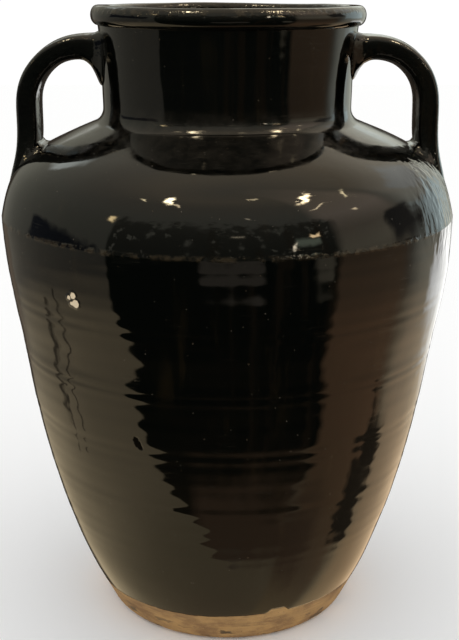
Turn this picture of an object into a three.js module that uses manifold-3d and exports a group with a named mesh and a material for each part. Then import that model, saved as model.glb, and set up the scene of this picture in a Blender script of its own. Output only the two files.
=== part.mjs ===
// Two-handled storage jar: thrown and luted stoneware, about 400 mm tall.
// Millimetres, +Z up. The origin is the centre of the foot, on the surface that the jar stands on.
// The two loops lie left and right, along X.
//
// The jar is put together as a potter builds a large one: a base, two thrown wall sections, a shoulder,
// a neck and a rolled rim, stacked on lapped seams, and two pulled straps with clay wads at their roots.
import * as THREE from "three";
import { mergeVertices } from "three/addons/utils/BufferGeometryUtils.js";
import Module from "manifold-3d";

const wasm = await Module();
wasm.setup();

// ---- Driving dimensions ----

// Heights of the stacked pieces, from the foot up.
const baseHeight = 25; // the bare clay band
const lowerWallHeight = 165;
const upperWallHeight = 82;
const shoulderHeight = 66; // from the crease, the widest level, to the root of the neck
const neckHeight = 50;
const rimHeight = 12;

// Outer radii.
const footRadius = 77; // the ring that the jar stands on
const waistRadius = 136.2; // where the two wall sections meet
const creaseRadius = 145.6; // where the shoulder turns in
const neckRadius = 79; // the root of the neck
const throatRadius = 81.5; // the neck just under the rim
const rimOverhang = 4.5; // how far the rim stands out past the neck

// Clay thicknesses.
const wall = 9;
const neckWall = 8;
const floorThickness = 12;
const footRingWidth = 16;
const footRecess = 2.5; // how far the underside is turned out inside the foot ring

// Shape of the outline. Each lean is an angle from the vertical, in degrees.
const baseLean = 26;
const waistLean = 8;
const creaseLean = 0.5;
const creaseTurn = -12; // the shoulder leans in as soon as it leaves the crease
const shoulderSlope = 22; // fall of the shoulder beside the neck, from the horizontal
const throatLean = 6;
const coveRadius = 10; // the hollow where the shoulder turns up into the neck
const footRound = 8; // the rounded lower edge of the base
const mouthRound = 3.5; // the rounded inner edge of the rim

// Seams are half laps, luted with slip: the inside of the lower piece stands up behind the upper one.
const slipGap = 0.3;
const lapHeight = 4;

// Pulled strap handles.
const strapWidth = 31;
const strapThickness = 13;
const strapEdge = 5.5; // radius of the strap's rounded edges
const strapDrop = 6; // from the underside of the rim down to the top of the strap
const loopReach = 52; // from the throat out to the outside of the strap
const archRise = 42; // height of the arch above the straight part of the strap
const archStart = 9; // how far the strap runs level from the neck before it arches
const tailRise = 40; // height above the crease at which the strap bends towards the shoulder
const tailEnd = 11; // height above the crease at which the strap's outside dies into the shoulder

// Clay wads that fill the corner around each root of a strap.
const wadLength = 8; // how far a wad runs along the strap
const wadSpread = 5; // how far it spreads over the wall, all round the strap
const wadLip = 1; // its thickness where it ends on the strap
const lowerWadShift = 3; // how far a lower wad lies towards the neck, off the strap's middle

const turns = 40; // facets round the jar
const degree = Math.PI / 180;

// ---- Materials ----

const glaze = new THREE.MeshStandardMaterial({ color: 0x0d0b09, roughness: 0.06, metalness: 0 });
const bareClay = new THREE.MeshStandardMaterial({ color: 0xa87a4a, roughness: 0.85, metalness: 0 });

// ---- Outline of the thrown body, as (radius, height) ----

const point = (r, z) => new THREE.Vector2(r, z);

// A curve that leaves one point and arrives at another at the given leans. The pulls say how far each
// lean is kept, as shares of the straight distance.
function leaningCurve(start, lean0, pull0, end, lean1, pull1) {
  const span = start.distanceTo(end);
  const towards = (lean, share) =>
    point(Math.sin(lean * degree), Math.cos(lean * degree)).multiplyScalar(share * span);
  const after = start.clone().add(towards(lean0, pull0));
  const before = end.clone().sub(towards(lean1, pull1));
  return new THREE.CubicBezierCurve(start, after, before, end);
}

// The base's side rises at its lean from the rounded edge that it touches.
const edgeReach = footRound / Math.cos(baseLean * degree);
const baseRadius = footRadius + edgeReach + (baseHeight - footRound) * Math.tan(baseLean * degree);

const foot = point(baseRadius, baseHeight);
const waist = point(waistRadius, foot.y + lowerWallHeight);
const crease = point(creaseRadius, waist.y + upperWallHeight);
const neckRoot = point(neckRadius, crease.y + shoulderHeight);
const throat = point(throatRadius, neckRoot.y + neckHeight);
const jarHeight = throat.y + rimHeight;

// The cove is the arc of a hollow that touches the neck at its root and the shoulder at its slope.
const coveTurn = (90 - shoulderSlope) * degree;
const coveCentre = point(neckRadius + coveRadius, neckRoot.y);
const coveFoot = point(
  coveCentre.x - coveRadius * Math.cos(coveTurn),
  coveCentre.y - coveRadius * Math.sin(coveTurn),
);

const lowerOutline = leaningCurve(foot, baseLean, 0.34, waist, waistLean, 0.2);
const upperOutline = leaningCurve(waist, waistLean, 0.36, crease, creaseLean, 0.4);
const shoulderOutline = leaningCurve(crease, creaseTurn, 0.4, coveFoot, shoulderSlope - 90, 0.6);
const coveOutline = new THREE.EllipseCurve(
  coveCentre.x, coveCentre.y, coveRadius, coveRadius, Math.PI + coveTurn, Math.PI, true,
);
const neckOutline = leaningCurve(neckRoot, 0, 0.3, throat, throatLean, 0.3);

// Points along a curve, moved inwards through the clay by a depth. Depth 0 is the outer face.
function pointsUnder(curve, steps, depth) {
  return Array.from({ length: steps + 1 }, (_, i) => {
    const tangent = curve.getTangent(i / steps);
    return curve.getPoint(i / steps).add(point(-tangent.y, tangent.x).multiplyScalar(depth));
  });
}

// The outside of the pieces that the straps stand on, at a depth.
const upperWallSide = (depth) => pointsUnder(upperOutline, 6, depth);
const shoulderSide = (depth) => [
  ...pointsUnder(shoulderOutline, 10, depth),
  ...pointsUnder(coveOutline, 3, depth).slice(1),
];
const neckSide = (depth) => pointsUnder(neckOutline, 4, depth);

// ---- Thrown pieces ----

// Revolves a (radius, height) profile about the jar's axis.
function thrown(profile) {
  return new THREE.LatheGeometry(profile, turns).rotateX(Math.PI / 2);
}

// The top of the lower piece at a seam, from the outside to the inside.
function lapBelow(seam, thickness) {
  const middle = seam.x - (thickness + slipGap) / 2;
  const inner = seam.x - thickness;
  const top = seam.y + lapHeight;
  return [seam.clone(), point(middle, seam.y), point(middle, top), point(inner, top)];
}

// The bottom of the upper piece at the same seam, from the inside to the outside.
function lapAbove(seam, thickness) {
  const middle = seam.x - (thickness - slipGap) / 2;
  const inner = seam.x - thickness;
  const low = seam.y + slipGap;
  const high = low + lapHeight;
  return [point(inner, high), point(middle, high), point(middle, low), point(seam.x, low)];
}

// A thrown ring between two seams. Face points that would crowd a seam's own points are left out.
function thrownRing(outside, inside, bottom, top) {
  const clear = 2 * slipGap;
  const between = (low, high) => (p) => p.y > low.y + clear && p.y < high.y - clear;
  return thrown([
    ...bottom,
    ...outside.filter(between(bottom.at(-1), top[0])),
    ...top,
    ...inside.filter(between(bottom[0], top.at(-1))).reverse(),
    bottom[0].clone(),
  ]);
}

// The base: a foot ring with a rounded edge, a turned-out underside, and a floor coved into the wall.
function base() {
  const ringInner = footRadius - footRingWidth;
  const edge = new THREE.EllipseCurve(
    footRadius, footRound, footRound, footRound, -Math.PI / 2, -baseLean * degree,
  );
  const top = lapBelow(foot, wall);
  const corner = top.at(-1);
  const floorTop = footRecess + floorThickness;
  const rise = corner.y - floorTop;
  const inside = new THREE.EllipseCurve(corner.x - rise, corner.y, rise, rise, 0, -Math.PI / 2, true);
  return thrown([
    point(0, footRecess),
    point(ringInner - footRecess, footRecess),
    point(ringInner, 0),
    ...edge.getPoints(3),
    ...top,
    ...inside.getPoints(3).slice(1),
    point(0, floorTop),
  ]);
}

function lowerWall() {
  const outside = pointsUnder(lowerOutline, 9, 0);
  const inside = pointsUnder(lowerOutline, 7, wall);
  return thrownRing(outside, inside, lapAbove(foot, wall), lapBelow(waist, wall));
}

function upperWall() {
  const inside = pointsUnder(upperOutline, 4, wall);
  return thrownRing(upperWallSide(0), inside, lapAbove(waist, wall), lapBelow(crease, wall));
}

function shoulder() {
  const underCove = pointsUnder(coveOutline, 3, neckWall).slice(1);
  const inside = [...pointsUnder(shoulderOutline, 8, wall), ...underCove];
  return thrownRing(shoulderSide(0), inside, lapAbove(crease, wall), lapBelow(neckRoot, neckWall));
}

function neck() {
  const inside = pointsUnder(neckOutline, 3, neckWall);
  return thrownRing(neckSide(0), inside, lapAbove(neckRoot, neckWall), lapBelow(throat, neckWall));
}

// The rolled rim: a bead that stands out past the neck, level on top, with a rounded mouth.
function rim() {
  const bottom = lapAbove(throat, neckWall);
  const halfHeight = (jarHeight - bottom.at(-1).y) / 2;
  const bead = new THREE.EllipseCurve(
    throat.x, jarHeight - halfHeight, rimOverhang, halfHeight, -Math.PI / 2, Math.PI / 2,
  );
  const mouth = new THREE.EllipseCurve(
    bottom[0].x + mouthRound, jarHeight - mouthRound, mouthRound, mouthRound, Math.PI / 2, Math.PI,
  );
  return thrown([...bottom, ...bead.getPoints(7).slice(1), ...mouth.getPoints(3), bottom[0].clone()]);
}

// ---- Cutting ----

// A closed geometry as a solid that can be cut.
function solidOf(geometry) {
  const bare = geometry.clone();
  bare.deleteAttribute("normal");
  bare.deleteAttribute("uv");
  const merged = mergeVertices(bare, 1e-3);
  const vertProperties = merged.attributes.position.array;
  const triVerts = new Uint32Array(merged.index.array);
  return new wasm.Manifold(new wasm.Mesh({ numProp: 3, vertProperties, triVerts }));
}

// The largest body of a cut solid, as a geometry. What a cut leaves besides is a crumb inside the wall.
function geometryOf(solid) {
  const body = solid.decompose().sort((a, b) => b.volume() - a.volume())[0];
  const mesh = body.getMesh();
  const geometry = new THREE.BufferGeometry();
  geometry.setAttribute("position", new THREE.BufferAttribute(mesh.vertProperties, 3));
  geometry.setIndex(new THREE.BufferAttribute(mesh.triVerts, 1));
  const faceted = geometry.toNonIndexed();
  faceted.computeVertexNormals();
  return faceted;
}

// Everything that the thrown pieces stand around, hollow and all, grown by the slip gap.
function filledJar() {
  const above = jarHeight + wall;
  const rimRadius = throatRadius + rimOverhang;
  return solidOf(thrown([
    point(0, waist.y),
    ...upperWallSide(-slipGap),
    ...shoulderSide(-slipGap),
    ...neckSide(-slipGap).slice(1, -1),
    point(throatRadius + slipGap, throat.y - slipGap),
    point(rimRadius + slipGap, throat.y - slipGap),
    point(rimRadius + slipGap, above),
    point(0, above),
  ]));
}

// ---- Straps and wads, for the right-hand side ----

// The place along a curve, from 0 to 1, where a test on its point first holds.
function firstPlace(curve, test) {
  const samples = 400;
  const found = curve.getPoints(samples).findIndex(test);
  return found < 0 ? 1 : found / samples;
}

const firstPoint = (curve, test) => curve.getPoint(firstPlace(curve, test));
const shoulderAtHeight = (z) => firstPoint(shoulderOutline, (p) => p.y >= z);
const shoulderAtRadius = (r) => firstPoint(shoulderOutline, (p) => p.x <= r);

const strapAcross = throatRadius + loopReach - strapThickness / 2; // the upright part of the strap's line
const strapTop = throat.y - strapDrop - strapThickness / 2; // the level part of the strap's line
const archFall = archRise - strapThickness / 2;
const arch = new THREE.EllipseCurve(
  throatRadius + archStart, strapTop - archFall,
  strapAcross - throatRadius - archStart, archFall, Math.PI / 2, 0, true,
);

// The tail bends from the arch's foot until the strap's outside meets the shoulder.
const tailFoot = shoulderAtHeight(crease.y + tailEnd).sub(point(strapThickness / 2, 0));
const tail = new THREE.QuadraticBezierCurve(
  point(strapAcross, strapTop - archFall), point(strapAcross, crease.y + tailRise), tailFoot,
);

// The line along the middle of the strap: out of the neck, over the arch, down, and into the shoulder.
// Both ends run on into the clay, where the body cuts them off.
const neckFace = firstPoint(neckOutline, (p) => p.y >= strapTop);
const inNeck = point(neckFace.x - strapThickness, strapTop);
const inShoulder = point(tailFoot.x, crease.y - strapThickness);
const strapRoute = [inNeck, ...arch.getPoints(6), ...tail.getPoints(4).slice(1), inShoulder];
const inLoopPlane = (p) => new THREE.Vector3(p.x, 0, p.y);
const strapLine = new THREE.CatmullRomCurve3(strapRoute.map(inLoopPlane), false, "centripetal");

// A flat bar with rounded edges along the strap's line, grown all round by a margin.
function strapBar(margin) {
  const edge = Math.min(strapEdge, strapThickness / 2 - slipGap);
  const x = strapWidth / 2 - edge;
  const y = strapThickness / 2 - edge;
  const r = edge + margin;
  const section = new THREE.Shape();
  section.absarc(x, y, r, 0, Math.PI / 2);
  section.absarc(-x, y, r, Math.PI / 2, Math.PI);
  section.absarc(-x, -y, r, Math.PI, 1.5 * Math.PI);
  section.absarc(x, -y, r, 1.5 * Math.PI, 2 * Math.PI);
  const sweep = { steps: 26, curveSegments: 2, bevelEnabled: false, extrudePath: strapLine };
  return solidOf(new THREE.ExtrudeGeometry(section, sweep));
}

// A wad: a collar about the strap, hollow-sided like a fillet pressed in with a thumb. It stands on the
// root along the direction out of the clay, and its foot may fall away along the across direction.
function wadCollar(root, out, across, fall) {
  const buried = wall + wadSpread;
  const length = wadLength + buried;
  const collar = new THREE.CylinderGeometry(1, 1, length, 20, 8);
  const p = collar.attributes.position;
  for (let i = 0; i < p.count; i += 1) {
    const along = p.getY(i) + length / 2 - buried;
    const climb = 1 - Math.max(along, 0) / wadLength;
    const spread = wadLip + (wadSpread - wadLip) * (1 - Math.sqrt(1 - climb * climb));
    const over = p.getX(i) * (strapThickness / 2 + spread);
    p.setXYZ(i, over, along - fall * over, p.getZ(i) * (strapWidth / 2 + spread));
  }
  const frame = new THREE.Matrix4().makeBasis(across, out, new THREE.Vector3().crossVectors(across, out));
  return solidOf(collar.applyMatrix4(frame.setPosition(root)));
}

// The lower wad stands where the tail enters the shoulder, along the tail, and follows the shoulder's fall.
const entry = firstPlace(tail, (p) => p.x <= shoulderAtHeight(p.y).x);
const upTail = tail.getTangent(entry).negate();
const overTail = point(upTail.y, -upTail.x);
const entryRadius = tail.getPoint(entry).x;
const besideStrap = [-0.5, 0.5].map((side) => shoulderAtRadius(entryRadius + side * strapThickness));
const fallLine = besideStrap[1].sub(besideStrap[0]);
const shoulderFall = -fallLine.dot(upTail) / fallLine.dot(overTail);
const underWad = shoulderAtRadius(entryRadius - lowerWadShift);

const upperCollar = wadCollar(inLoopPlane(neckFace), inLoopPlane(point(1, 0)), inLoopPlane(point(0, 1)), 0);
const lowerCollar = wadCollar(
  inLoopPlane(underWad), inLoopPlane(upTail), inLoopPlane(overTail), shoulderFall,
);

const filled = filledJar();
const strapRoom = strapBar(slipGap);
const strap = geometryOf(strapBar(0).subtract(filled));
const upperWad = geometryOf(upperCollar.subtract(strapRoom).subtract(filled));
const lowerWad = geometryOf(lowerCollar.subtract(strapRoom).subtract(filled));

// ---- Assembly ----

const jar = new THREE.Group();

function add(parent, name, geometry, material) {
  const piece = new THREE.Mesh(geometry, material);
  piece.name = name;
  parent.add(piece);
}

add(jar, "base", base(), bareClay);
add(jar, "lower_wall", lowerWall(), glaze);
add(jar, "upper_wall", upperWall(), glaze);
add(jar, "shoulder", shoulder(), glaze);
add(jar, "neck", neck(), glaze);
add(jar, "rim", rim(), glaze);

for (const [side, turn] of [["right", 0], ["left", Math.PI]]) {
  const loop = new THREE.Group();
  loop.rotation.z = turn;
  add(loop, `${side}_handle`, strap, glaze);
  add(loop, `${side}_upper_wad`, upperWad, glaze);
  add(loop, `${side}_lower_wad`, lowerWad, glaze);
  jar.add(loop);
}

export default jar;
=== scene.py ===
import math

import bpy
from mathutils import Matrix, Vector


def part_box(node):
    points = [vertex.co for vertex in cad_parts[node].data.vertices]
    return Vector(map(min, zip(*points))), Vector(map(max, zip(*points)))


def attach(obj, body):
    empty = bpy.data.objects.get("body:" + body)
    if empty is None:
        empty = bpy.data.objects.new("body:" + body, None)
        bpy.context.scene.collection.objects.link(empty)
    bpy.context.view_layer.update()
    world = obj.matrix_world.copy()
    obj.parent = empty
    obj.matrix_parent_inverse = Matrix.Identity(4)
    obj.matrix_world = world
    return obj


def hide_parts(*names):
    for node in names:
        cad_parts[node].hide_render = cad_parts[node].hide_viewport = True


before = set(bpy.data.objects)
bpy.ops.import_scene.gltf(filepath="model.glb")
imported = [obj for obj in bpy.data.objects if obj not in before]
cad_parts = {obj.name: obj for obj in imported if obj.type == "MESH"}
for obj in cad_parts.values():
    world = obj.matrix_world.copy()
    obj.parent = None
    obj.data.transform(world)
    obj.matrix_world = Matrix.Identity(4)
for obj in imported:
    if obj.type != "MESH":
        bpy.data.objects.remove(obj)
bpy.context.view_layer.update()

# A black-glazed jar with two pulled handles, thrown in sections and left bare at the foot.
# Metres, +Z up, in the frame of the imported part.

MM = 0.001
DEG = math.pi / 180

# ---- Levels and radii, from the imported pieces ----

LAP = 4 * MM  # each seam is a half lap of this height

FOOT_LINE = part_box("base")[1].z - LAP
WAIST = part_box("lower_wall")[1].z - LAP
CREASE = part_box("upper_wall")[1].z - LAP
NECK_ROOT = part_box("shoulder")[1].z - LAP
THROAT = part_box("neck")[1].z - LAP
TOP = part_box("rim")[1].z

BASE_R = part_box("base")[1].x
WAIST_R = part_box("lower_wall")[1].x
CREASE_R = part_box("upper_wall")[1].x
THROAT_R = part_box("neck")[1].x
RIM_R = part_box("rim")[1].x

# ---- The potter's own sizes ----

WALL = 9 * MM
NECK_WALL = 8 * MM
NECK_R = 79 * MM
COVE_R = 10 * MM
FOOT_R = 77 * MM
FOOT_RING = 16 * MM
FOOT_RECESS = 2.5 * MM
FLOOR_TOP = 14.5 * MM
FOOT_ROUND = 8 * MM
MOUTH_ROUND = 3.5 * MM
BASE_LEAN = 26  # leans are in degrees from the vertical
WAIST_LEAN = 8
CREASE_LEAN = 0.5
CREASE_TURN = -12  # the shoulder leans in as soon as it leaves the crease
THROAT_LEAN = 6
SHOULDER_SLOPE = 22  # degrees below the horizontal

# ---- How finely it is made ----

TURNS = 192  # facets round the jar
STEP = 1.6 * MM  # height of a row of faces on a thrown wall
SEAM_CLEAR = 0.6 * MM  # no other row lies this near a seam
SEAM_ROW = 0.15 * MM  # the thin row of faces beside a seam
WELD = 0.005 * MM  # vertices nearer than this are one
SHARP = 35 * DEG  # an edge that turns further than this stays sharp


# ---- Modelling helpers ----

def nothing_selected():
    if bpy.context.mode != "OBJECT":
        bpy.ops.object.mode_set(mode="OBJECT")
    bpy.ops.object.select_all(action="DESELECT")


def started(name):
    """Names the primitive that was just added and opens it for editing, all selected."""
    piece = bpy.context.active_object
    piece.name = piece.data.name = name
    bpy.ops.object.mode_set(mode="EDIT")
    bpy.ops.mesh.select_all(action="SELECT")
    return piece


def finished(piece):
    """Leaves edit mode with clean outward faces, its place in its mesh, and smooth shading."""
    bpy.ops.mesh.select_all(action="SELECT")
    bpy.ops.mesh.remove_doubles(threshold=WELD)
    bpy.ops.mesh.normals_make_consistent(inside=False)
    bpy.ops.object.mode_set(mode="OBJECT")
    bpy.ops.object.transform_apply(location=True, rotation=True, scale=True)
    bpy.ops.object.shade_smooth_by_angle(angle=SHARP)
    return piece


# ---- Outline of the jar, as (radius, height) ----

def leaning_curve(start, lean0, pull0, end, lean1, pull1, steps):
    """Points of a curve that leaves and arrives at the given leans. The pulls say how far each lean is
    kept, as shares of the straight distance."""
    span = math.dist(start, end)
    a, b = lean0 * DEG, lean1 * DEG
    one = (start[0] + pull0 * span * math.sin(a), start[1] + pull0 * span * math.cos(a))
    two = (end[0] - pull1 * span * math.sin(b), end[1] - pull1 * span * math.cos(b))
    points = []
    for i in range(steps + 1):
        t = i / steps
        u = 1 - t
        weights = (u**3, 3 * u * u * t, 3 * u * t * t, t**3)
        points.append(tuple(
            sum(w * p[axis] for w, p in zip(weights, (start, one, two, end))) for axis in (0, 1)
        ))
    return points


def arc(centre, radius, start, stop, steps, rise=None):
    """Points of a circular or oval arc, between two angles in degrees."""
    rise = radius if rise is None else rise
    angles = (start + (stop - start) * i / steps for i in range(steps + 1))
    return [(centre[0] + radius * math.cos(a * DEG), centre[1] + rise * math.sin(a * DEG)) for a in angles]


def rows(low, high):
    """How many rows of faces a wall takes between two heights."""
    return max(2, round((high - low) / STEP))


def blend_in(value, start, stop):
    """Rises smoothly from 0 at the start to 1 at the stop."""
    t = min(max((value - start) / (stop - start), 0), 1)
    return t * t * (3 - 2 * t)


def finger_rings(z):
    """How far the potter's fingers left the wall standing out at a height."""
    wander = 1.1 * math.sin(2 * math.pi * z / (47 * MM)) + 0.7 * math.sin(2 * math.pi * z / (19 * MM) + 1)
    ridge = math.sin(2 * math.pi * z / (9.1 * MM) + wander)
    strength = 0.62 + 0.38 * math.sin(2 * math.pi * z / (37 * MM) + 1)
    broad = 0.9 * math.sin(2 * math.pi * z / (27 * MM) + 2)
    body = blend_in(z, 58 * MM, 80 * MM) * (1 - 0.7 * blend_in(z, CREASE - 14 * MM, CREASE))
    trimmed = -1.6 * (1 - blend_in(z, 64 * MM, 70 * MM)) * blend_in(z, 30 * MM, 60 * MM)
    return 0.062 * MM * (body * (ridge * strength + broad) + trimmed)


def relieved(points):
    """The same outline with the finger rings added along its normal."""
    made = []
    for i, (r, z) in enumerate(points):
        before, after = points[max(i - 1, 0)], points[min(i + 1, len(points) - 1)]
        along = Vector((after[0] - before[0], after[1] - before[1])).normalized()
        out = finger_rings(z)
        made.append((r + along.y * out, z - along.x * out))
    return made


def under(points, depth):
    """The inner face: the outline moved in through the clay."""
    made = []
    for i, (r, z) in enumerate(points):
        before, after = points[max(i - 1, 0)], points[min(i + 1, len(points) - 1)]
        along = Vector((after[0] - before[0], after[1] - before[1])).normalized()
        made.append((r - along.y * depth, z + along.x * depth))
    return made


foot, waist, crease = (BASE_R, FOOT_LINE), (WAIST_R, WAIST), (CREASE_R, CREASE)
neck_root, throat = (NECK_R, NECK_ROOT), (THROAT_R, THROAT)
cove_centre = (NECK_R + COVE_R, NECK_ROOT)
cove = arc(cove_centre, COVE_R, 270 - SHOULDER_SLOPE, 180, 12)

lower_line = leaning_curve(foot, BASE_LEAN, 0.34, waist, WAIST_LEAN, 0.2, rows(FOOT_LINE, WAIST))
upper_line = leaning_curve(waist, WAIST_LEAN, 0.36, crease, CREASE_LEAN, 0.4, rows(WAIST, CREASE))
shoulder_line = leaning_curve(crease, CREASE_TURN, 0.4, cove[0], SHOULDER_SLOPE - 90, 0.6, 48)
neck_line = leaning_curve(neck_root, 0, 0.3, throat, THROAT_LEAN, 0.3, rows(NECK_ROOT, THROAT))


# ---- Thrown pieces ----

def lap_below(seam, thickness):
    """The top of the lower piece at a seam, from the outside to the inside."""
    middle, inner, top = seam[0] - thickness / 2, seam[0] - thickness, seam[1] + LAP
    return [seam, (middle, seam[1]), (middle, top), (inner, top)]


def lap_above(seam, thickness):
    return lap_below(seam, thickness)[::-1]


def thrown(name, chain):
    """Draws a chain of (radius, height) points out of one corner and turns it on the wheel."""
    nothing_selected()
    (r, z) = chain[0]
    bpy.ops.mesh.primitive_plane_add(size=MM, location=(r, 0, z))
    piece = started(name)
    bpy.ops.mesh.merge(type="CENTER")
    for before, after in zip(chain, chain[1:]):
        step = (after[0] - before[0], 0, after[1] - before[1])
        bpy.ops.mesh.extrude_vertices_move(TRANSFORM_OT_translate={"value": step})
    bpy.ops.mesh.select_all(action="SELECT")
    bpy.ops.mesh.remove_doubles(threshold=WELD)
    bpy.ops.mesh.spin(steps=TURNS, angle=2 * math.pi, center=(0, 0, 0), axis=(0, 0, 1))
    return finished(piece)


def thrown_ring(name, outside, inside, bottom, top):
    """A ring between two seams. A thin row beside each seam keeps the surface true up to it."""
    def clear(points, low, high):
        return [p for p in points if low + SEAM_CLEAR < p[1] < high - SEAM_CLEAR]

    def beside(points):
        end, near = Vector(points[0]), Vector(points[1])
        return tuple(end + (near - end).normalized() * SEAM_ROW)

    outer = clear(outside, bottom[-1][1], top[0][1])
    inner = clear(inside, bottom[0][1], top[-1][1])
    chain = [*bottom[:-1], outside[0], beside(outside), *outer, beside(outside[::-1]), outside[-1], *top[1:]]
    return thrown(name, [*chain, *inner[::-1], bottom[0]])


def make_base():
    ring_inner = FOOT_R - FOOT_RING
    edge = arc((FOOT_R, FOOT_ROUND), FOOT_ROUND, -90, -BASE_LEAN, 10)
    r, z = edge[-1]
    side = [(r + (BASE_R - r) * t, z + (FOOT_LINE - z) * t) for t in (0.2, 0.4, 0.6, 0.8, 0.99)]
    top = lap_below(foot, WALL)
    corner = top[-1]
    rise = corner[1] - FLOOR_TOP
    inside = arc((corner[0] - rise, corner[1]), rise, 0, -90, 10)
    return thrown("foot_and_floor", [
        (0, FOOT_RECESS),
        (ring_inner - FOOT_RECESS, FOOT_RECESS),
        (ring_inner - 0.6 * MM, 0.4 * MM),
        (ring_inner + 0.4 * MM, 0),
        *edge, *side, *top, *inside[1:],
        (0, FLOOR_TOP),
    ])


def make_lower_wall():
    outside = relieved(lower_line)
    return thrown_ring("lower_section", outside, under(lower_line[::3], WALL),
                       lap_above(outside[0], WALL), lap_below(outside[-1], WALL))


def make_upper_wall():
    outside = relieved(upper_line)
    return thrown_ring("upper_section", outside, under(upper_line[::3], WALL),
                       lap_above(outside[0], WALL), lap_below(outside[-1], WALL))


def make_shoulder():
    outside = relieved([*shoulder_line, *cove[1:]])
    inside = [*under(shoulder_line[::3], WALL), *under(cove[::2], NECK_WALL)[1:]]
    return thrown_ring("shoulder_section", outside, inside,
                       lap_above(outside[0], WALL), lap_below(outside[-1], NECK_WALL))


def make_neck():
    outside = relieved(neck_line)
    return thrown_ring("neck_section", outside, under(neck_line[::3], NECK_WALL),
                       lap_above(outside[0], NECK_WALL), lap_below(outside[-1], NECK_WALL))


def make_rim():
    start = relieved(neck_line)[-1]
    bottom = lap_above(start, NECK_WALL)
    half = (TOP - THROAT) / 2
    bead = arc((THROAT_R, TOP - half), RIM_R - THROAT_R, -90, 90, 24, rise=half)
    mouth = arc((bottom[0][0] + MOUTH_ROUND, TOP - MOUTH_ROUND), MOUTH_ROUND, 90, 180, 10)
    return thrown("rolled_rim", [*bottom, *bead[1:], *mouth, bottom[0]])


# ---- Pulled handles and the wads at their roots ----

STRAP_WIDTH = 31 * MM
STRAP = 13 * MM  # thickness
STRAP_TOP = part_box("right_handle")[1].z
STRAP_OUT = THROAT_R + 52 * MM
ARCH_START = THROAT_R + 9 * MM
ARCH_FOOT = STRAP_TOP - 42 * MM


def on_shoulder(radius):
    """The height of the shoulder at a radius."""
    for (r0, z0), (r1, z1) in zip(shoulder_line, shoulder_line[1:]):
        if r1 <= radius <= r0:
            return z0 + (z1 - z0) * (r0 - radius) / (r0 - r1)
    return shoulder_line[-1][1]


def drawn_bar(name, stations, outer_round, inner_round, grooved=False, round_jar=None):
    """Draws a rounded bar through stations of (inner point, outer point, width) in the plane of a loop.
    A bar that clings to the jar falls back round it, at the radius given."""
    nothing_selected()
    bpy.ops.mesh.primitive_plane_add(size=1)
    piece = started(name)
    turn = 0
    thick, wide = 1, 1
    at = Vector((0, 0, 0))
    for i, (inner, outer, width) in enumerate(stations):
        inner, outer = Vector((inner[0], 0, inner[1])), Vector((outer[0], 0, outer[1]))
        across = outer - inner
        centre = (inner + outer) / 2
        heading = math.atan2(across.z, across.x)
        if i:
            bpy.ops.mesh.extrude_region_move()
            turned(-turn, at)
        bpy.ops.transform.resize(value=(across.length / thick, width / wide, 1), center_override=at)
        if not i:
            round_section(piece, across.length, outer_round, inner_round, grooved)
        turned(heading, at)
        bpy.ops.transform.translate(value=centre - at)
        turn, thick, wide, at = heading, across.length, width, centre
    if round_jar:
        wrapped(piece, round_jar)
    finished(piece)
    return modified(piece, "SUBSURF", levels=2, render_levels=2)


def turned(angle, centre):
    """Turns what is selected from +X towards +Z."""
    bpy.ops.transform.rotate(value=angle, orient_axis="Y", center_override=centre)


def round_section(piece, thick, outer_round, inner_round, grooved):
    """Rounds the corners of the flat section. A grooved one swells on both faces, and has two finger
    grooves down the outer one."""
    for side, offset, segments in ((1, outer_round, 4), (-1, inner_round, 3)):
        picked(piece, lambda co: co.x * side > 0.3 * thick)
        bpy.ops.mesh.bevel(offset=offset, segments=segments, affect="VERTICES")
    if grooved:
        for side, crown, groove in ((1, 1.1, -0.55), (-1, -1.8, 0)):
            face = side * thick / 2
            picked(piece, lambda co: abs(co.x - face) < 0.01 * MM)
            bpy.ops.mesh.subdivide(number_cuts=7)
            chosen = [vertex.co.y for vertex in looked_at(piece) if vertex.select]
            reach = max(abs(y) for y in chosen)
            for y in sorted({round(y, 5) for y in chosen}):
                along = y / reach
                swell = crown * (1 - along * along)
                finger = groove * math.exp(-((abs(along) - 0.55) / 0.22) ** 2)
                picked(piece, lambda co: abs(co.y - y) < 0.02 * MM and abs(co.x - face) < 0.01 * MM)
                bpy.ops.transform.translate(value=((swell + finger) * MM, 0, 0))
    bpy.ops.mesh.select_all(action="SELECT")


def looked_at(piece):
    """The vertices of the piece in edit mode, as they now are."""
    piece.update_from_editmode()
    return piece.data.vertices


def picked(piece, test):
    """Selects the vertices whose place passes a test."""
    bpy.ops.mesh.select_all(action="DESELECT")
    bpy.ops.object.mode_set(mode="OBJECT")
    for vertex in piece.data.vertices:
        vertex.select = test(vertex.co)
    bpy.ops.object.mode_set(mode="EDIT")


def modified(piece, kind, **settings):
    """Adds a modifier, sets it and applies it."""
    bpy.context.view_layer.objects.active = piece
    modifier = piece.modifiers.new(kind.lower(), kind)
    for setting, value in settings.items():
        setattr(modifier, setting, value)
    bpy.ops.object.modifier_apply(modifier=modifier.name)
    return piece


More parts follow.
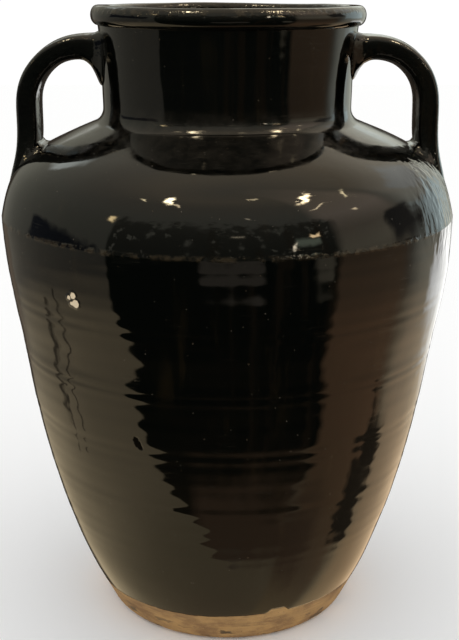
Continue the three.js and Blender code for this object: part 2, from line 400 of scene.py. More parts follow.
def strap_stations(thumb):
    """The strap from inside the neck, over the arch and down into the shoulder. Its underside thickens
    towards the neck by the depth of the thumb that pressed it on."""
    stations = []
    for x, part in ((75, 1), (79, 1), (83, 0.72), (87, 0.36)):
        low = STRAP_TOP - STRAP - thumb * part
        stations.append(((x * MM, low), (x * MM, STRAP_TOP), STRAP_WIDTH + 4 * MM * part))
    reach, rise = STRAP_OUT - STRAP / 2 - ARCH_START, STRAP_TOP - STRAP / 2 - ARCH_FOOT
    for step in range(10):
        a = (90 - 10 * step) * DEG
        centre = Vector((ARCH_START + reach * math.cos(a), ARCH_FOOT + rise * math.sin(a)))
        out = Vector((math.cos(a) / reach, math.sin(a) / rise)).normalized()
        fill = thumb * 0.14 * max(0, 1 - step / 3)
        inner = centre - out * (STRAP / 2 + fill)
        stations.append((tuple(inner), tuple(centre + out * STRAP / 2), STRAP_WIDTH))
    # Below the arch: how far each face stands out, its height above the crease, and the strap's spread.
    for inner, inner_up, outer, outer_up, spread in (
        (0, 56, 0, 54, 0), (0.1, 49.5, 0.6, 41, 0.5), (0.6, 45, 3.3, 29.5, 2), (1.2, 41.5, 6.2, 19, 4),
        (2, 38.5, 8, 10, 6),
    ):
        inside = (STRAP_OUT - STRAP + inner * MM, CREASE + inner_up * MM)
        outside = (STRAP_OUT + outer * MM, CREASE + outer_up * MM)
        stations.append((inside, outside, STRAP_WIDTH + spread * MM))
    return stations


def make_strap(side, thumb):
    piece = drawn_bar(f"{side}_strap", strap_stations(thumb), 5.5 * MM, 4.2 * MM, grooved=True)
    return half_turned(piece, side)


def wrapped(piece, radius):
    """Bends a collar back round the jar: each vertex falls away as the wall behind it does."""
    for y in sorted({round(abs(vertex.co.y), 5) for vertex in looked_at(piece)}):
        picked(piece, lambda co: abs(abs(co.y) - y) < 0.006 * MM)
        bpy.ops.transform.translate(value=(math.sqrt(radius * radius - y * y) - radius, 0, 0))


def make_upper_wad(side, thumb):
    """Clay thumbed round the strap where it leaves the neck."""
    root = NECK_R + 1.4 * MM
    low = STRAP_TOP - STRAP - thumb
    stations = []
    # How far out from the root, how far above and below the strap, and the width.
    for out, rise, drop, width in (
        (11, -0.5, -0.5, 30), (8.6, 0, 0.1, 31.9), (6.2, 0.4, 0.8, 33.4), (4.2, 0.9, 1.8, 35.2),
        (2.5, 1.6, 3.2, 37.8), (1.1, 2.4, 5.2, 41), (-0.3, 3.2, 7.6, 44.5), (-4, 2.8, 7, 43),
    ):
        x = root + out * MM
        bottom = low + thumb * min(max(out - 1.6, 0) / 9.4, 1) ** 0.8 - drop * MM
        stations.append(((x, bottom), (x, STRAP_TOP + rise * MM), width * MM))
    piece = drawn_bar(f"{side}_neck_wad", stations[::-1], 8 * MM, 8 * MM, round_jar=root)
    return half_turned(piece, side)


def make_lower_wad(side):
    """Clay smeared round the foot of the strap, down to the crease."""
    stations = []
    # The inner face by its height above the shoulder, the outer one by its height above the crease.
    for inner, rise, outer, level, width in (
        (0.6, 5.5, -0.5, 45, 30.6), (-0.2, 3.6, 0.9, 37, 33.2), (-1.1, 2.0, 3.6, 28, 36),
        (-2.6, 0.9, 6.6, 20, 39.5), (-4.6, -0.2, 8.9, 13, 43), (-3.4, -3.2, 7.6, 9, 41),
    ):
        r = STRAP_OUT - STRAP + inner * MM
        outside = (STRAP_OUT + outer * MM, CREASE + level * MM)
        stations.append(((r, on_shoulder(r) + rise * MM), outside, width * MM))
    piece = drawn_bar(f"{side}_shoulder_wad", stations, 6 * MM, 6 * MM, round_jar=STRAP_OUT)
    return half_turned(piece, side)


def half_turned(piece, side):
    """Takes a left-hand piece half a turn round the jar."""
    if side == "left":
        piece.rotation_euler.z = math.pi
        bpy.ops.object.select_all(action="DESELECT")
        piece.select_set(True)
        bpy.context.view_layer.objects.active = piece
        bpy.ops.object.transform_apply(location=True, rotation=True, scale=True)
    return piece


# ---- The hand of the potter ----

def hand_texture(name, size):
    """A cloud of colour that pushes the clay about, over a size."""
    texture = bpy.data.textures.new(name, "CLOUDS")
    texture.cloud_type = "COLOR"
    texture.noise_scale = size
    texture.noise_depth = 1
    return texture


lean_of_the_wheel = hand_texture("lean_of_the_wheel", 95 * MM)
press_of_the_hand = hand_texture("press_of_the_hand", 30 * MM)


def hand_shaped(piece):
    """Moves every piece by its place alone, so that seams and roots still meet, and keeps the foot flat."""
    firm = piece.vertex_groups.new(name="above_the_foot")
    levels = {}
    for vertex in piece.data.vertices:
        weight = round(blend_in(vertex.co.z, 2 * MM, 60 * MM), 2)
        levels.setdefault(weight, []).append(vertex.index)
    for weight, indices in levels.items():
        firm.add(indices, weight, "REPLACE")
    for texture, strength in ((lean_of_the_wheel, 2.2 * MM), (press_of_the_hand, 0.35 * MM)):
        modified(piece, "DISPLACE", texture=texture, texture_coords="LOCAL", direction="RGB_TO_XYZ",
                 strength=strength, mid_level=0.5, vertex_group=firm.name)
    piece.vertex_groups.clear()
    return piece


# ---- Finishes ----

def node(tree, kind, settings=None, **inputs):
    """Adds a shader node. An input is given by its name, or by _ and its number, as a value or a socket."""
    made = tree.nodes.new("ShaderNode" + kind)
    for setting, value in (settings or {}).items():
        setattr(made, setting, value)
    for name, value in inputs.items():
        socket = made.inputs[int(name[1:]) if name[0] == "_" else name.replace("_", " ")]
        if isinstance(value, bpy.types.NodeSocket):
            tree.links.new(value, socket)
        else:
            socket.default_value = value
    return made


def maths(tree, operation, *values):
    inputs = {f"_{i}": value for i, value in enumerate(values)}
    return node(tree, "Math", {"operation": operation}, **inputs).outputs[0]


def added(tree, *values):
    total = values[0]
    for value in values[1:]:
        total = maths(tree, "ADD", total, value)
    return total


def times(tree, *values):
    total = values[0]
    for value in values[1:]:
        total = maths(tree, "MULTIPLY", total, value)
    return total


def off(tree, value, centre):
    """How far a value lies from a centre, either way."""
    return maths(tree, "ABSOLUTE", added(tree, value, -centre))


def ramp(tree, value, low, high):
    """Rises smoothly from 0 at low to 1 at high, or falls when low is the greater."""
    flip = low > high
    made = node(tree, "MapRange", {"interpolation_type": "SMOOTHSTEP"}, Value=value,
                From_Min=min(low, high), From_Max=max(low, high),
                To_Min=1.0 if flip else 0.0, To_Max=0.0 if flip else 1.0)
    return made.outputs["Result"]


def mixed(tree, mask, below, above):
    """Lays one colour over another where the mask is 1."""
    below, above = ((*c, 1) if isinstance(c, tuple) else c for c in (below, above))
    return node(tree, "Mix", {"data_type": "RGBA"}, _0=mask, _6=below, _7=above).outputs[2]


def noise(tree, place, scale, detail=2.0, roughness=0.5, stretch=None):
    if stretch:
        place = node(tree, "Mapping", Vector=place, Scale=stretch).outputs[0]
    made = node(tree, "TexNoise", Vector=place, Scale=scale, Detail=detail, Roughness=roughness)
    return made.outputs["Fac"]


def chances(tree, cells):
    """Three random values for each cell of a Voronoi pattern."""
    return node(tree, "SeparateColor", Color=cells["Color"]).outputs


def distance(tree, place, centre):
    return node(tree, "VectorMath", {"operation": "DISTANCE"}, _0=place, _1=centre).outputs["Value"]


def group(name, inputs, outputs):
    """Starts a shader node group and gives its tree, its inputs by name and its output node."""
    tree = bpy.data.node_groups.new(name, "ShaderNodeTree")
    for title, kind, value in inputs:
        socket = tree.interface.new_socket(title, in_out="INPUT", socket_type=kind)
        if value is not None:
            socket.default_value = value
    for title, kind in outputs:
        tree.interface.new_socket(title, in_out="OUTPUT", socket_type=kind)
    return tree, tree.nodes.new("NodeGroupInput").outputs, tree.nodes.new("NodeGroupOutput")


def hand_out(tree, output, **values):
    for name, value in values.items():
        tree.links.new(value, output.inputs[name])


FLOAT, VECTOR, COLOUR = "NodeSocketFloat", "NodeSocketVector", "NodeSocketColor"


def make_place_group():
    """Where a point of the jar lies: millimetres, height, and turn from the front in degrees."""
    tree, given, out = group("place_on_the_jar", [("Object", VECTOR, None)],
                             [("Millimetres", VECTOR), ("Height", FLOAT), ("Turn", FLOAT)])
    scaled = node(tree, "VectorMath", {"operation": "SCALE"}, Vector=given["Object"], Scale=1000.0).outputs[0]
    split = node(tree, "SeparateXYZ", Vector=scaled).outputs
    turn = maths(tree, "ARCTAN2", split["X"], times(tree, split["Y"], -1.0))
    hand_out(tree, out, Millimetres=scaled, Height=split["Z"], Turn=times(tree, turn, 180 / math.pi))
    return tree


FOLDS_AT = (130.0, -50.0, 287.0)  # the middle of the folded glaze, in millimetres
CREASE_EDGE = CREASE / MM + 0.6  # millimetres
LIP_EDGE = TOP / MM - 2.5
COVE = NECK_ROOT / MM


def make_glaze_group():
    """A thick black-brown glaze: faint runs, pinholes, dust, a skin like orange peel, fine scratches."""
    tree, given, out = group("black_glaze_skin", [
        ("Millimetres", VECTOR, None), ("Height above floor", FLOAT, 0.0), ("Peel", FLOAT, 1.0),
        ("Pinholes", FLOAT, 1.0), ("Scratches", FLOAT, 1.0), ("Settled dust", FLOAT, 1.0),
        ("Lumps", FLOAT, 0.0), ("Folds", FLOAT, 1.0),
        ("Deep", COLOUR, (0.0007, 0.0008, 0.0006, 1)), ("Thin", COLOUR, (0.0048, 0.0033, 0.0015, 1)),
    ], [("Color", COLOUR), ("Roughness", FLOAT), ("Height", FLOAT)])
    mm = given["Millimetres"]

    runs = noise(tree, mm, 1.0, 3.0, 0.6, stretch=(0.11, 0.11, 0.007))
    clouds = noise(tree, mm, 0.02, 3.0, 0.55)
    thin = times(tree, ramp(tree, runs, 0.52, 0.74), ramp(tree, clouds, 0.4, 0.7))
    colour = mixed(tree, thin, given["Deep"], given["Thin"])

    cells = node(tree, "TexVoronoi", Vector=mm, Scale=0.16, Randomness=1.0).outputs
    chance = chances(tree, cells)
    pit = times(tree, maths(tree, "LESS_THAN", cells["Distance"], times(tree, chance["Red"], 0.085)),
                maths(tree, "GREATER_THAN", chance["Green"], 0.62), given["Pinholes"])
    colour = mixed(tree, times(tree, pit, 0.8), colour, (0.03, 0.02, 0.011))

    # Dust lies thickest in the hollow at the root of the neck.
    high = given["Height above floor"]
    hollow = times(tree, ramp(tree, high, COVE - 28, COVE - 16), ramp(tree, high, COVE + 7, COVE - 1),
                   given["Settled dust"])
    grains = node(tree, "TexVoronoi", Vector=mm, Scale=0.31, Randomness=1.0).outputs
    luck = chances(tree, grains)
    rarity = maths(tree, "MULTIPLY_ADD", hollow, -0.4, 0.8)
    dust = times(tree, maths(tree, "LESS_THAN", grains["Distance"], times(tree, luck["Blue"], 0.1)),
                 maths(tree, "GREATER_THAN", luck["Green"], rarity))
    colour = mixed(tree, times(tree, dust, 0.6), colour, (0.16, 0.13, 0.09))

    hair = noise(tree, mm, 1.0, 1.0, 0.4, stretch=(0.018, 0.018, 0.42))
    broken = noise(tree, mm, 0.05, 2.0)
    scratch = times(tree, ramp(tree, off(tree, hair, 0.5), 0.0035, 0.0), ramp(tree, broken, 0.56, 0.66),
                    given["Scratches"])
    colour = mixed(tree, times(tree, scratch, 0.25), colour, (0.05, 0.045, 0.035))

    film = times(tree, hollow, ramp(tree, noise(tree, mm, 0.12, 4.0, 0.65), 0.3, 0.7))
    colour = mixed(tree, times(tree, film, 0.4), colour, (0.02, 0.016, 0.011))

    # The glaze breaks brown along the crease and lip.
    on_crease = ramp(tree, off(tree, high, CREASE_EDGE), 2.2, 0.3)
    on_lip = ramp(tree, off(tree, high, LIP_EDGE), 2.6, 0.6)
    breaks = ramp(tree, noise(tree, mm, 0.21, 3.0, 0.6), 0.42, 0.62)
    edges = times(tree, maths(tree, "MAXIMUM", on_crease, on_lip), breaks)
    colour = mixed(tree, times(tree, edges, 0.8), colour, (0.024, 0.017, 0.009))

    wiped = noise(tree, mm, 0.045, 4.0, 0.6, stretch=(1.0, 1.0, 0.5))
    roughness = added(tree, 0.028, times(tree, ramp(tree, wiped, 0.42, 0.78), 0.06),
                      times(tree, scratch, 0.16), times(tree, dust, 0.5), times(tree, pit, 0.2),
                      times(tree, film, 0.12))

    peel = noise(tree, mm, 0.16, 1.5, 0.45)
    flow = noise(tree, mm, 0.045, 2.0, 0.5, stretch=(1.0, 1.0, 0.6))

    # Beside the right strap the glaze dried in folds before it melted.
    wrinkles = noise(tree, mm, 0.085, 2.5, 0.6, stretch=(1.0, 1.0, 0.45))
    folds = times(tree, wrinkles, ramp(tree, distance(tree, mm, FOLDS_AT), 48.0, 24.0), given["Folds"])
    lumpy = maths(tree, "MAXIMUM", given["Lumps"], edges)
    height = added(tree, times(tree, peel, given["Peel"], 0.022), times(tree, flow, given["Peel"], 0.11),
                   times(tree, pit, -0.12), times(tree, dust, 0.06), times(tree, scratch, -0.012),
                   times(tree, noise(tree, mm, 0.28, 2.0, 0.5), lumpy, 0.2), times(tree, folds, 2.0))
    hand_out(tree, out, Color=colour, Roughness=roughness, Height=height)
    return tree


def make_clay_group():
    """Buff stoneware left bare: trimming lines, sand, grog and dark smudges."""
    tree, given, out = group("bare_buff_clay", [
        ("Millimetres", VECTOR, None), ("Height above floor", FLOAT, 0.0), ("Smudges", FLOAT, 1.0),
        ("Buff", COLOUR, (0.43, 0.25, 0.09, 1)), ("Toasted", COLOUR, (0.235, 0.125, 0.048, 1)),
    ], [("Color", COLOUR), ("Roughness", FLOAT), ("Height", FLOAT)])
    mm = given["Millimetres"]
    cloudy = noise(tree, mm, 0.05, 4.0, 0.6, stretch=(1.0, 1.0, 2.2))
    colour = mixed(tree, ramp(tree, cloudy, 0.38, 0.68), given["Buff"], given["Toasted"])
    lines = noise(tree, mm, 1.0, 3.0, 0.6, stretch=(0.012, 0.012, 0.9))
    colour = mixed(tree, times(tree, ramp(tree, lines, 0.5, 0.72), 0.35), colour, (0.17, 0.095, 0.04))
    sand = noise(tree, mm, 1.3, 2.0, 0.7)
    colour = mixed(tree, times(tree, ramp(tree, sand, 0.5, 0.75), 0.35), colour, (0.5, 0.33, 0.16))
    grog = node(tree, "TexVoronoi", Vector=mm, Scale=0.55, Randomness=1.0).outputs
    luck = chances(tree, grog)
    speck = times(tree, maths(tree, "LESS_THAN", grog["Distance"], times(tree, luck["Red"], 0.22)),
                  maths(tree, "GREATER_THAN", luck["Green"], 0.8))
    colour = mixed(tree, times(tree, speck, 0.6), colour, (0.06, 0.035, 0.018))
    smear = noise(tree, mm, 0.075, 3.0, 0.55, stretch=(1.0, 1.0, 2.6))
    low = ramp(tree, given["Height above floor"], 19.0, 7.0)
    soiled = times(tree, ramp(tree, smear, 0.565, 0.64), low, given["Smudges"])
    colour = mixed(tree, times(tree, soiled, 0.85), colour, (0.045, 0.028, 0.016))
    roughness = added(tree, 0.78, times(tree, sand, 0.14), times(tree, soiled, -0.2))
    height = added(tree, times(tree, lines, 0.28), times(tree, sand, 0.09), times(tree, speck, 0.08),
                   times(tree, cloudy, 0.25))
    hand_out(tree, out, Color=colour, Roughness=roughness, Height=height)
    return tree


def make_glaze_line_group():
    """Where the dipped glaze stops above the foot: an uneven line with one nick, and its thin brown edge."""
    tree, given, out = group("glaze_line", [
        ("Millimetres", VECTOR, None), ("Height above floor", FLOAT, 0.0), ("Turn", FLOAT, 0.0),
        ("Line", FLOAT, FOOT_LINE / MM - 0.6), ("Nick turn", FLOAT, 20.0), ("Nick rise", FLOAT, 3.2),
    ], [("Glazed", FLOAT), ("Thin edge", FLOAT), ("Roll", FLOAT)])
    drift = times(tree, added(tree, noise(tree, given["Millimetres"], 0.014, 1.0), -0.5), 4.0)
    tremble = times(tree, added(tree, noise(tree, given["Millimetres"], 0.13, 2.0), -0.5), 1.1)
    away = maths(tree, "ABSOLUTE", maths(tree, "SUBTRACT", given["Turn"], given["Nick turn"]))
    nick = times(tree, ramp(tree, away, 5.2, 2.4), given["Nick rise"])
    aside = maths(tree, "SINE", times(tree, given["Turn"], DEG))
    tilt = added(tree, times(tree, aside, 0.6), times(tree, aside, aside, -2.4))
    line = added(tree, given["Line"], drift, tremble, nick, tilt)
    above = maths(tree, "SUBTRACT", given["Height above floor"], line)
    hand_out(tree, out, Glazed=ramp(tree, above, -0.1, 0.15),
             **{"Thin edge": ramp(tree, above, 2.2, 0.2), "Roll": ramp(tree, above, -0.1, 0.9)})
    return tree


place_group = make_place_group()
glaze_group = make_glaze_group()
clay_group = make_clay_group()
line_group = make_glaze_line_group()


def use(tree, tool, **inputs):
    """Places a node group in a material and gives its outputs."""
    made = tree.nodes.new("ShaderNodeGroup")
    made.node_tree = tool
    for name, value in inputs.items():
        socket = made.inputs[name.replace("_", " ")]
        if isinstance(value, bpy.types.NodeSocket):
            tree.links.new(value, socket)
        else:
            socket.default_value = value
    return made.outputs


def fired(name, peel=1.0, pinholes=1.0, scratches=1.0, dust=1.0, lumps=0.0, blister=False):
    """A finish of glaze over clay, which parts at the glaze line."""
    material = bpy.data.materials.new(name)
    material.use_nodes = True
    tree = material.node_tree
    shader = tree.nodes["Principled BSDF"]
    place = use(tree, place_group, Object=node(tree, "TexCoord").outputs["Object"])
    where = {"Millimetres": place["Millimetres"], "Height_above_floor": place["Height"]}
    glaze = use(tree, glaze_group, **where, Peel=peel, Pinholes=pinholes, Scratches=scratches,
                Settled_dust=dust, Lumps=lumps)
    clay = use(tree, clay_group, **where)
    line = use(tree, line_group, **where, Turn=place["Turn"])
    colour, roughness, height = glaze["Color"], glaze["Roughness"], glaze["Height"]
    if blister:
        mark = use(tree, blister_group, Millimetres=place["Millimetres"])
        colour = mixed(tree, mark["Rim"], colour, (0.0012, 0.001, 0.0008))
        colour = mixed(tree, mark["Chip"], colour, (0.62, 0.5, 0.33))
        roughness = added(tree, roughness, times(tree, mark["Chip"], 0.5))
        height = added(tree, height, times(tree, mark["Dome"], 0.35), times(tree, mark["Pit"], -0.5))
        # Painted shade: the pit is painted near-black and, on the next line, made to reflect nothing,
        # standing in for the shade inside the hole.
        colour = mixed(tree, mark["Pit"], colour, (0.002, 0.002, 0.002))
        tree.links.new(mark["Pit"], shader.inputs["Metallic"])  # painted shade: the pit is kept from mirroring anything, as the shade inside a deep hole
    colour = mixed(tree, times(tree, line["Thin edge"], 0.85), colour, (0.03, 0.017, 0.007))
    colour = mixed(tree, line["Glazed"], clay["Color"], colour)
    bare = maths(tree, "SUBTRACT", 1.0, line["Glazed"])
    roughness = added(tree, times(tree, roughness, line["Glazed"]), times(tree, clay["Roughness"], bare))
    height = added(tree, times(tree, height, line["Glazed"]), times(tree, clay["Height"], bare),
                   times(tree, line["Roll"], 0.45))
    bump = node(tree, "Bump", Strength=1.0, Distance=MM, Height=height)
    tree.links.new(colour, shader.inputs["Base Color"])
    tree.links.new(roughness, shader.inputs["Roughness"])
    tree.links.new(bump.outputs["Normal"], shader.inputs["Normal"])
    shader.inputs["IOR"].default_value = 1.5
    return material


# Marks on the belly, each by its turn in degrees, its height and its size in millimetres.
BLISTER_R = 144.4  # the belly's radius at the blisters, in millimetres
BLISTERS = ((-37.3, 244.2, 2.0), (-38.7, 242.4, 1.3), (-36.7, 239.4, 2.5), (-38.0, 239.0, 1.5))
PIT_R = 131.1  # and at the pit
PITS = ((-24.0, 158.4, 2.0), (-23.6, 156.0, 2.3), (-23.0, 153.6, 1.9))


def marked(tree, place, radius, marks, outside, inside):
    """The mask of a cluster of round marks, which fades between two distances from each one's edge."""
    mask = None
    for turn, z, size in marks:
        centre = (radius * math.sin(turn * DEG), -radius * math.cos(turn * DEG), z)
        spot = ramp(tree, distance(tree, place, centre), size + outside, size + inside)
        mask = spot if mask is None else maths(tree, "MAXIMUM", mask, spot)
    return mask


def make_blister_group():
    """A cluster of burst blisters, cream inside, on the left of the belly, and one pit below them, painted
    black as the shade inside it.
    """
    tree, given, out = group("burst_blisters", [("Millimetres", VECTOR, None)],
                             [("Chip", FLOAT), ("Rim", FLOAT), ("Dome", FLOAT), ("Pit", FLOAT)])
    mm = given["Millimetres"]
    warp = node(tree, "TexNoise", Vector=mm, Scale=0.5, Detail=2.0).outputs["Color"]
    warp = node(tree, "VectorMath", {"operation": "MULTIPLY_ADD"}, _0=warp, _1=(1.6, 1.6, 1.6),
                _2=(-0.8, -0.8, -0.8)).outputs[0]
    place = node(tree, "VectorMath", {"operation": "ADD"}, _0=mm, _1=warp).outputs[0]
    chip = marked(tree, place, BLISTER_R, BLISTERS, 0.3, -0.2)
    rim = marked(tree, place, BLISTER_R, BLISTERS, 1.6, 0.4)
    pit = marked(tree, place, PIT_R, PITS, 0.4, -0.2)
    hand_out(tree, out, Chip=chip, Rim=rim, Dome=maths(tree, "SUBTRACT", rim, chip), Pit=pit)
    return tree


blister_group = make_blister_group()

black_glaze = fired("black_glaze", blister=True)
strap_glaze = fired("black_glaze_on_the_straps", peel=2.2, pinholes=1.5, scratches=0.5, dust=0.0,
                    lumps=0.9)
bare_clay = fired("bare_buff_foot")


def placed(piece, material, slot, *nodes):
    """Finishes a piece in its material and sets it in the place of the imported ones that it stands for."""
    hand_shaped(piece)
    piece.data.materials.clear()
    piece.data.materials.append(material)
    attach(piece, "root")
    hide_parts(*nodes)
    return piece


placed(make_base(), bare_clay, "bare_clay", "base")
placed(make_lower_wall(), black_glaze, "black_glaze", "lower_wall")
placed(make_upper_wall(), black_glaze, "black_glaze", "upper_wall")
placed(make_shoulder(), black_glaze, "black_glaze", "shoulder")
placed(make_neck(), black_glaze, "black_glaze", "neck")
placed(make_rim(), black_glaze, "black_glaze", "rim")
for side, thumb in (("right", 7 * MM), ("left", 11 * MM)):
    placed(make_strap(side, thumb), strap_glaze, "black_glaze", f"{side}_handle")
    placed(make_upper_wad(side, thumb), strap_glaze, "black_glaze", f"{side}_upper_wad")
    placed(make_lower_wad(side), strap_glaze, "black_glaze", f"{side}_lower_wad")

# ---- Camera ----

camera_data = bpy.data.cameras.new("camera")
camera_data.sensor_width = 36
camera_data.lens = 62.3
camera = bpy.data.objects.new("camera", camera_data)
bpy.context.scene.collection.objects.link(camera)
camera.location = (1.1 * MM, -717 * MM, 414 * MM)
camera.rotation_euler = (73 * DEG, 0, 0)
bpy.context.scene.camera = camera

# ---- Stage ----

nothing_selected()
bpy.ops.mesh.primitive_plane_add(size=8, location=(0, 0, 0))
floor = bpy.context.active_object
floor.name = "floor"


def make_floor_finish():
    """A pale matt floor. The glaze mirrors the room in its place."""
    material = bpy.data.materials.new("pale_floor")
    material.use_nodes = True
    tree = material.node_tree
    shader = tree.nodes["Principled BSDF"]
    shader.inputs["Base Color"].default_value = (0.965, 0.965, 0.96, 1)
    shader.inputs["Roughness"].default_value = 0.9
    shader.inputs["Specular IOR Level"].default_value = 0
    mirrored = node(tree, "LightPath").outputs["Is Glossy Ray"]
    clear = node(tree, "BsdfTransparent").outputs[0]
    chosen = node(tree, "MixShader", _0=mirrored, _1=shader.outputs[0], _2=clear)
    tree.links.new(chosen.outputs[0], tree.nodes["Material Output"].inputs["Surface"])
    return material


floor.data.materials.append(make_floor_finish())

# ---- The room that the glaze mirrors ----
# Azimuth 0 is straight in front of the jar and grows to its right. Azimuth and elevation are in degrees.

FULL = 2.0  # the brightness that the room's nodes hold as 1

# The walls and floor, as a colour for each elevation.
LEFT_SIDE = (
    (-75, (0.5, 0.38, 0.23)), (-58, (0.6, 0.48, 0.29)), (-42, (0.86, 0.69, 0.43)),
    (-30, (0.8, 0.65, 0.42)), (-18, (0.25, 0.225, 0.18)), (-2, (0.3, 0.29, 0.24)),
    (18, (0.42, 0.41, 0.33)), (35, (0.5, 0.48, 0.39)), (55, (0.58, 0.52, 0.41)),
    (70, (0.8, 0.68, 0.5)), (88, (0.7, 0.62, 0.48)),
)
RIGHT_SIDE = (
    (-75, (1.1, 0.8, 0.42)), (-58, (1.1, 0.78, 0.42)), (-45, (1.1, 0.75, 0.42)),
    (-30, (1.3, 0.95, 0.6)), (-18, (0.8, 0.72, 0.55)), (-4, (0.8, 0.85, 0.75)),
    (18, (1.15, 1.15, 0.98)), (35, (1.2, 1.08, 0.86)), (55, (0.85, 0.7, 0.5)), (88, (0.7, 0.62, 0.48)),
)
BROWN_PART = (
    (-75, (0.6, 0.44, 0.24)), (-58, (0.42, 0.29, 0.17)), (-45, (0.5, 0.31, 0.17)),
    (-32, (0.62, 0.36, 0.2)), (-18, (0.4, 0.27, 0.17)), (-6, (0.28, 0.19, 0.12)),
    (8, (0.85, 0.75, 0.55)), (18, (0.74, 0.62, 0.47)), (35, (1.3, 1.06, 0.84)),
    (55, (1.25, 1.0, 0.74)), (88, (0.7, 0.62, 0.48)),
)
DARK_FRONT = (
    (-75, (0.5, 0.39, 0.27)), (-64, (0.42, 0.32, 0.21)), (-54, (0.08, 0.06, 0.035)),
    (-35, (0.012, 0.016, 0.012)), (-14, (0.012, 0.018, 0.014)), (12, (0.1, 0.1, 0.08)),
    (32, (0.2, 0.19, 0.15)),
)

# Things that stand or hang in the room: the middle, the size, the softness of the edge and the colour.
THINGS = (
    ((2, -20), (30, 8), 1.5, (0.3, 0.26, 0.21)),  # pale wall beyond the dark front
    ((50, -18), (9, 8), 2.5, (0.5, 0.44, 0.32)),
    ((40, 15), (12, 4), 1.5, (1.1, 1.25, 0.95)),
    ((-90, 4), (44, 10), 1.5, (0.045, 0.05, 0.065)),  # dark cabinet on the left
    ((-100, -28), (1.6, 15), 0.8, (0.1, 0.08, 0.06)),  # its thin legs
    ((-110, -29), (1.4, 12), 0.8, (0.16, 0.13, 0.09)),
    ((103, -36), (16, 7), 2.0, (0.1, 0.075, 0.05)),  # dark stool on the right
    ((97, -44), (17, 12), 2.0, (0.1, 0.075, 0.05)),
    ((99, 12), (18, 16), 3.0, (0.12, 0.11, 0.1)),
    ((-160, -15), (30, 12), 4.0, (0.2, 0.16, 0.12)),
    ((-170, -42), (28, 96), 5.0, (0.05, 0.04, 0.03)),  # shade behind the jar
    ((172, -42), (22, 96), 4.0, (0.06, 0.05, 0.04)),
    ((-172, 15), (20, 6), 3.0, (1.0, 1.0, 0.9)),
    ((171, 15), (20, 6), 3.0, (1.4, 1.5, 1.4)),
    ((145, -16), (34, 10), 3.0, (2.0, 2.0, 1.95)),  # cool window on the right
    ((127, 6), (34, 22), 3.0, (1.25, 1.5, 1.5)),
    ((132, 30), (26, 14), 3.0, (1.3, 1.3, 1.2)),
    ((-150, 32), (12, 8), 2.0, (1.6, 1.7, 1.6)),
)

# Warm lamps: the middle, the size, the softness, the slant and the colour.
LAMPS = (
    ((-57, 64), (7, 10), 2.5, 1.76, (60.0, 50.0, 32.0)),  # the two large ones overhead
    ((72, 61), (8, 10), 2.5, -2.36, (60.0, 48.0, 30.0)),
    ((-72, 58), (3, 3), 1.0, 1.76, (12.0, 10.0, 6.0)),
    ((96, 52), (4, 6), 1.0, -2.36, (12.0, 10.0, 6.0)),
    ((62, 47), (3, 5), 1.0, -2.36, (10.0, 8.0, 5.0)),
    ((-65, 27), (4, 6), 1.5, 0.0, (12.0, 9.0, 4.5)),
    ((45, 20), (5, 3), 1.0, 0.0, (14.0, 10.0, 5.5)),
    ((33, 13), (3, 4), 1.0, 0.0, (14.0, 12.0, 9.0)),
    ((77, 34), (5, 2), 1.0, 0.0, (10.0, 8.0, 5.0)),
    ((35, 74), (14, 2), 1.0, 0.0, (8.0, 6.5, 4.0)),
    ((-40, 57), (4, 5), 1.0, 1.76, (10.0, 8.0, 5.0)),
    ((5, 21), (7, 1), 0.8, 0.0, (4.0, 3.4, 2.4)),
    ((12, 41), (2, 2), 0.8, 0.0, (4.0, 3.4, 2.4)),
)


def shown(colour):
    """A brightness as the room's nodes hold it."""
    return tuple(part / FULL for part in colour)


def by_height(tree, elevation, stops):
    """A colour for each elevation."""
    made = node(tree, "ValToRGB", Fac=maths(tree, "MULTIPLY_ADD", elevation, 1 / 180, 0.5))
    ramp_stops = made.color_ramp.elements
    while len(ramp_stops) < len(stops):
        ramp_stops.new(0.5)
    for stop, (height, colour) in zip(ramp_stops, stops):
        stop.position = height / 180 + 0.5
        stop.color = (*shown(colour), 1)
    return made.outputs["Color"]


def card(tree, azimuth, elevation, at, size, soft, slant=0.0):
    """The mask of a soft-edged card in the room. A slanting one moves round as it rises."""
    above = added(tree, elevation, -float(at[1]))
    wide = maths(tree, "ABSOLUTE", added(tree, azimuth, -float(at[0]), times(tree, above, slant)))
    high = maths(tree, "ABSOLUTE", above)
    return times(tree, ramp(tree, wide, size[0] / 2 + soft, size[0] / 2 - soft),
                 ramp(tree, high, size[1] / 2 + soft, size[1] / 2 - soft))


def make_sides(tree, azimuth, elevation):
    """The left and right of the room, and the brown part between the right and the front."""
    left, right, brown = (by_height(tree, elevation, side) for side in (LEFT_SIDE, RIGHT_SIDE, BROWN_PART))
    room = mixed(tree, ramp(tree, azimuth, 98.0, 116.0), left, right)
    return mixed(tree, card(tree, azimuth, elevation, (76, 0), (50, 200), 7.0), room, brown)


def make_front_masks(tree, azimuth, elevation, place):
    """The dark front stands over the floor as a slanting shape, wide above and drawn to a point below.
    Gives what is right of its left edge, and the whole of it."""
    fall = maths(tree, "MAXIMUM", times(tree, added(tree, elevation, 27.0), -1 / 36), 0.0)
    left_edge = maths(tree, "MULTIPLY_ADD", maths(tree, "POWER", fall, 1.6), 56.0, -61.0)
    drop = maths(tree, "MAXIMUM", times(tree, added(tree, elevation, 40.0), -1 / 22), 0.0)
    right_edge = maths(tree, "MULTIPLY_ADD", maths(tree, "POWER", drop, 1.3), -40.0, 57.0)
    clutter = noise(tree, place, 0.13, 3.0, 0.6)
    ragged = added(tree, elevation, times(tree, added(tree, clutter, -0.5), 40.0))
    past_left = ramp(tree, maths(tree, "SUBTRACT", azimuth, left_edge), -1.0, 1.0)
    before_right = ramp(tree, maths(tree, "SUBTRACT", right_edge, azimuth), -3.0, 3.0)
    return past_left, times(tree, past_left, before_right, ramp(tree, ragged, 33.0, 25.0))


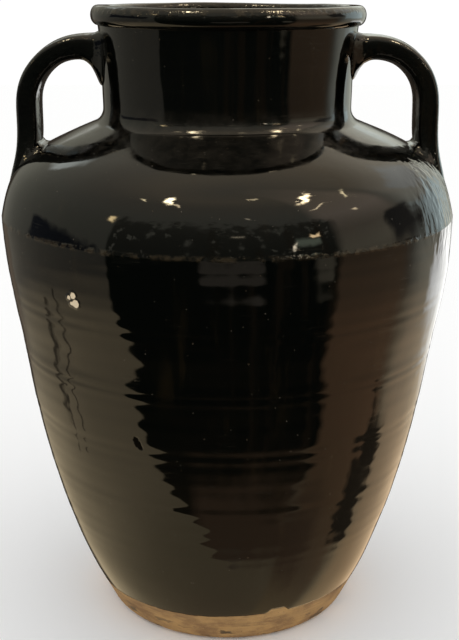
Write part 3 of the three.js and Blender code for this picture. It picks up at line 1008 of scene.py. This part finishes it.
def make_room_colour(tree, azimuth, elevation):
    """The colour of the room in a direction."""
    place = node(tree, "CombineXYZ", X=azimuth, Y=elevation).outputs[0]
    past_left, in_front = make_front_masks(tree, azimuth, elevation, place)
    room = make_sides(tree, azimuth, elevation)
    room = mixed(tree, in_front, room, by_height(tree, elevation, DARK_FRONT))
    upright_place = node(tree, "CombineXYZ", X=azimuth, Y=times(tree, elevation, 0.25)).outputs[0]
    upright = noise(tree, upright_place, 0.11, 2.0)
    streaks = times(tree, in_front, ramp(tree, upright, 0.5, 0.66), ramp(tree, azimuth, -30.0, 10.0))
    room = mixed(tree, times(tree, streaks, 0.6), room, shown((0.1, 0.068, 0.04)))

    # Nothing in the room has a ruled edge once a hand-thrown wall mirrors it.
    wander = node(tree, "TexNoise", Vector=place, Scale=0.1, Detail=2.0).outputs["Color"]
    sway = node(tree, "SeparateColor", Color=wander).outputs
    azimuth = added(tree, azimuth, times(tree, added(tree, sway["Red"], -0.5), 12.0))
    elevation = added(tree, elevation, times(tree, added(tree, sway["Green"], -0.5), 8.0))
    brown_floor = times(tree, past_left, card(tree, azimuth, elevation, (26, -55), (98, 15), 6.0))
    room = mixed(tree, brown_floor, room, shown((0.3, 0.19, 0.115)))
    scraps = times(tree, in_front, ramp(tree, noise(tree, place, 0.22, 2.0, 0.6), 0.6, 0.64),
                   ramp(tree, elevation, 6.0, 12.0))
    room = mixed(tree, times(tree, scraps, 0.8), room, shown((0.62, 0.6, 0.48)))
    for at, size, soft, colour in THINGS:
        room = mixed(tree, card(tree, azimuth, elevation, at, size, soft), room, shown(colour))

    broken = ramp(tree, noise(tree, place, 0.5, 1.0), 0.25, 0.45)
    for at, size, soft, slant, colour in LAMPS:
        lit = times(tree, card(tree, azimuth, elevation, at, size, soft, slant), broken)
        lamp = mixed(tree, lit, (0.0, 0.0, 0.0), shown(colour))
        adding = {"data_type": "RGBA", "blend_type": "ADD"}
        room = node(tree, "Mix", adding, _0=1.0, _6=room, _7=lamp).outputs[2]
    return room


def make_room():
    """The studio: soft and even for the eye and for matt clay, and for the glaze a room to mirror, with a
    warm floor, a dark front, pale walls, lamps overhead and a cool window on the right."""
    world = bpy.data.worlds.new("studio")
    bpy.context.scene.world = world
    world.use_nodes = True
    tree = world.node_tree
    way = node(tree, "SeparateXYZ", Vector=node(tree, "TexCoord").outputs["Generated"]).outputs
    azimuth = times(tree, maths(tree, "ARCTAN2", way["X"], times(tree, way["Y"], -1.0)), 180 / math.pi)
    elevation = times(tree, maths(tree, "ARCSINE", way["Z"]), 180 / math.pi)
    mirrored = node(tree, "LightPath").outputs["Is Glossy Ray"]
    even = node(tree, "Background", Color=(1.0, 1.0, 1.0, 1), Strength=1.03).outputs[0]
    room = make_room_colour(tree, azimuth, elevation)
    seen = node(tree, "Background", Color=room, Strength=FULL).outputs[0]
    chosen = node(tree, "MixShader", _0=mirrored, _1=even, _2=seen)
    tree.links.new(chosen.outputs[0], tree.nodes["World Output"].inputs["Surface"])


make_room()
bpy.context.scene.view_settings.view_transform = "Standard"
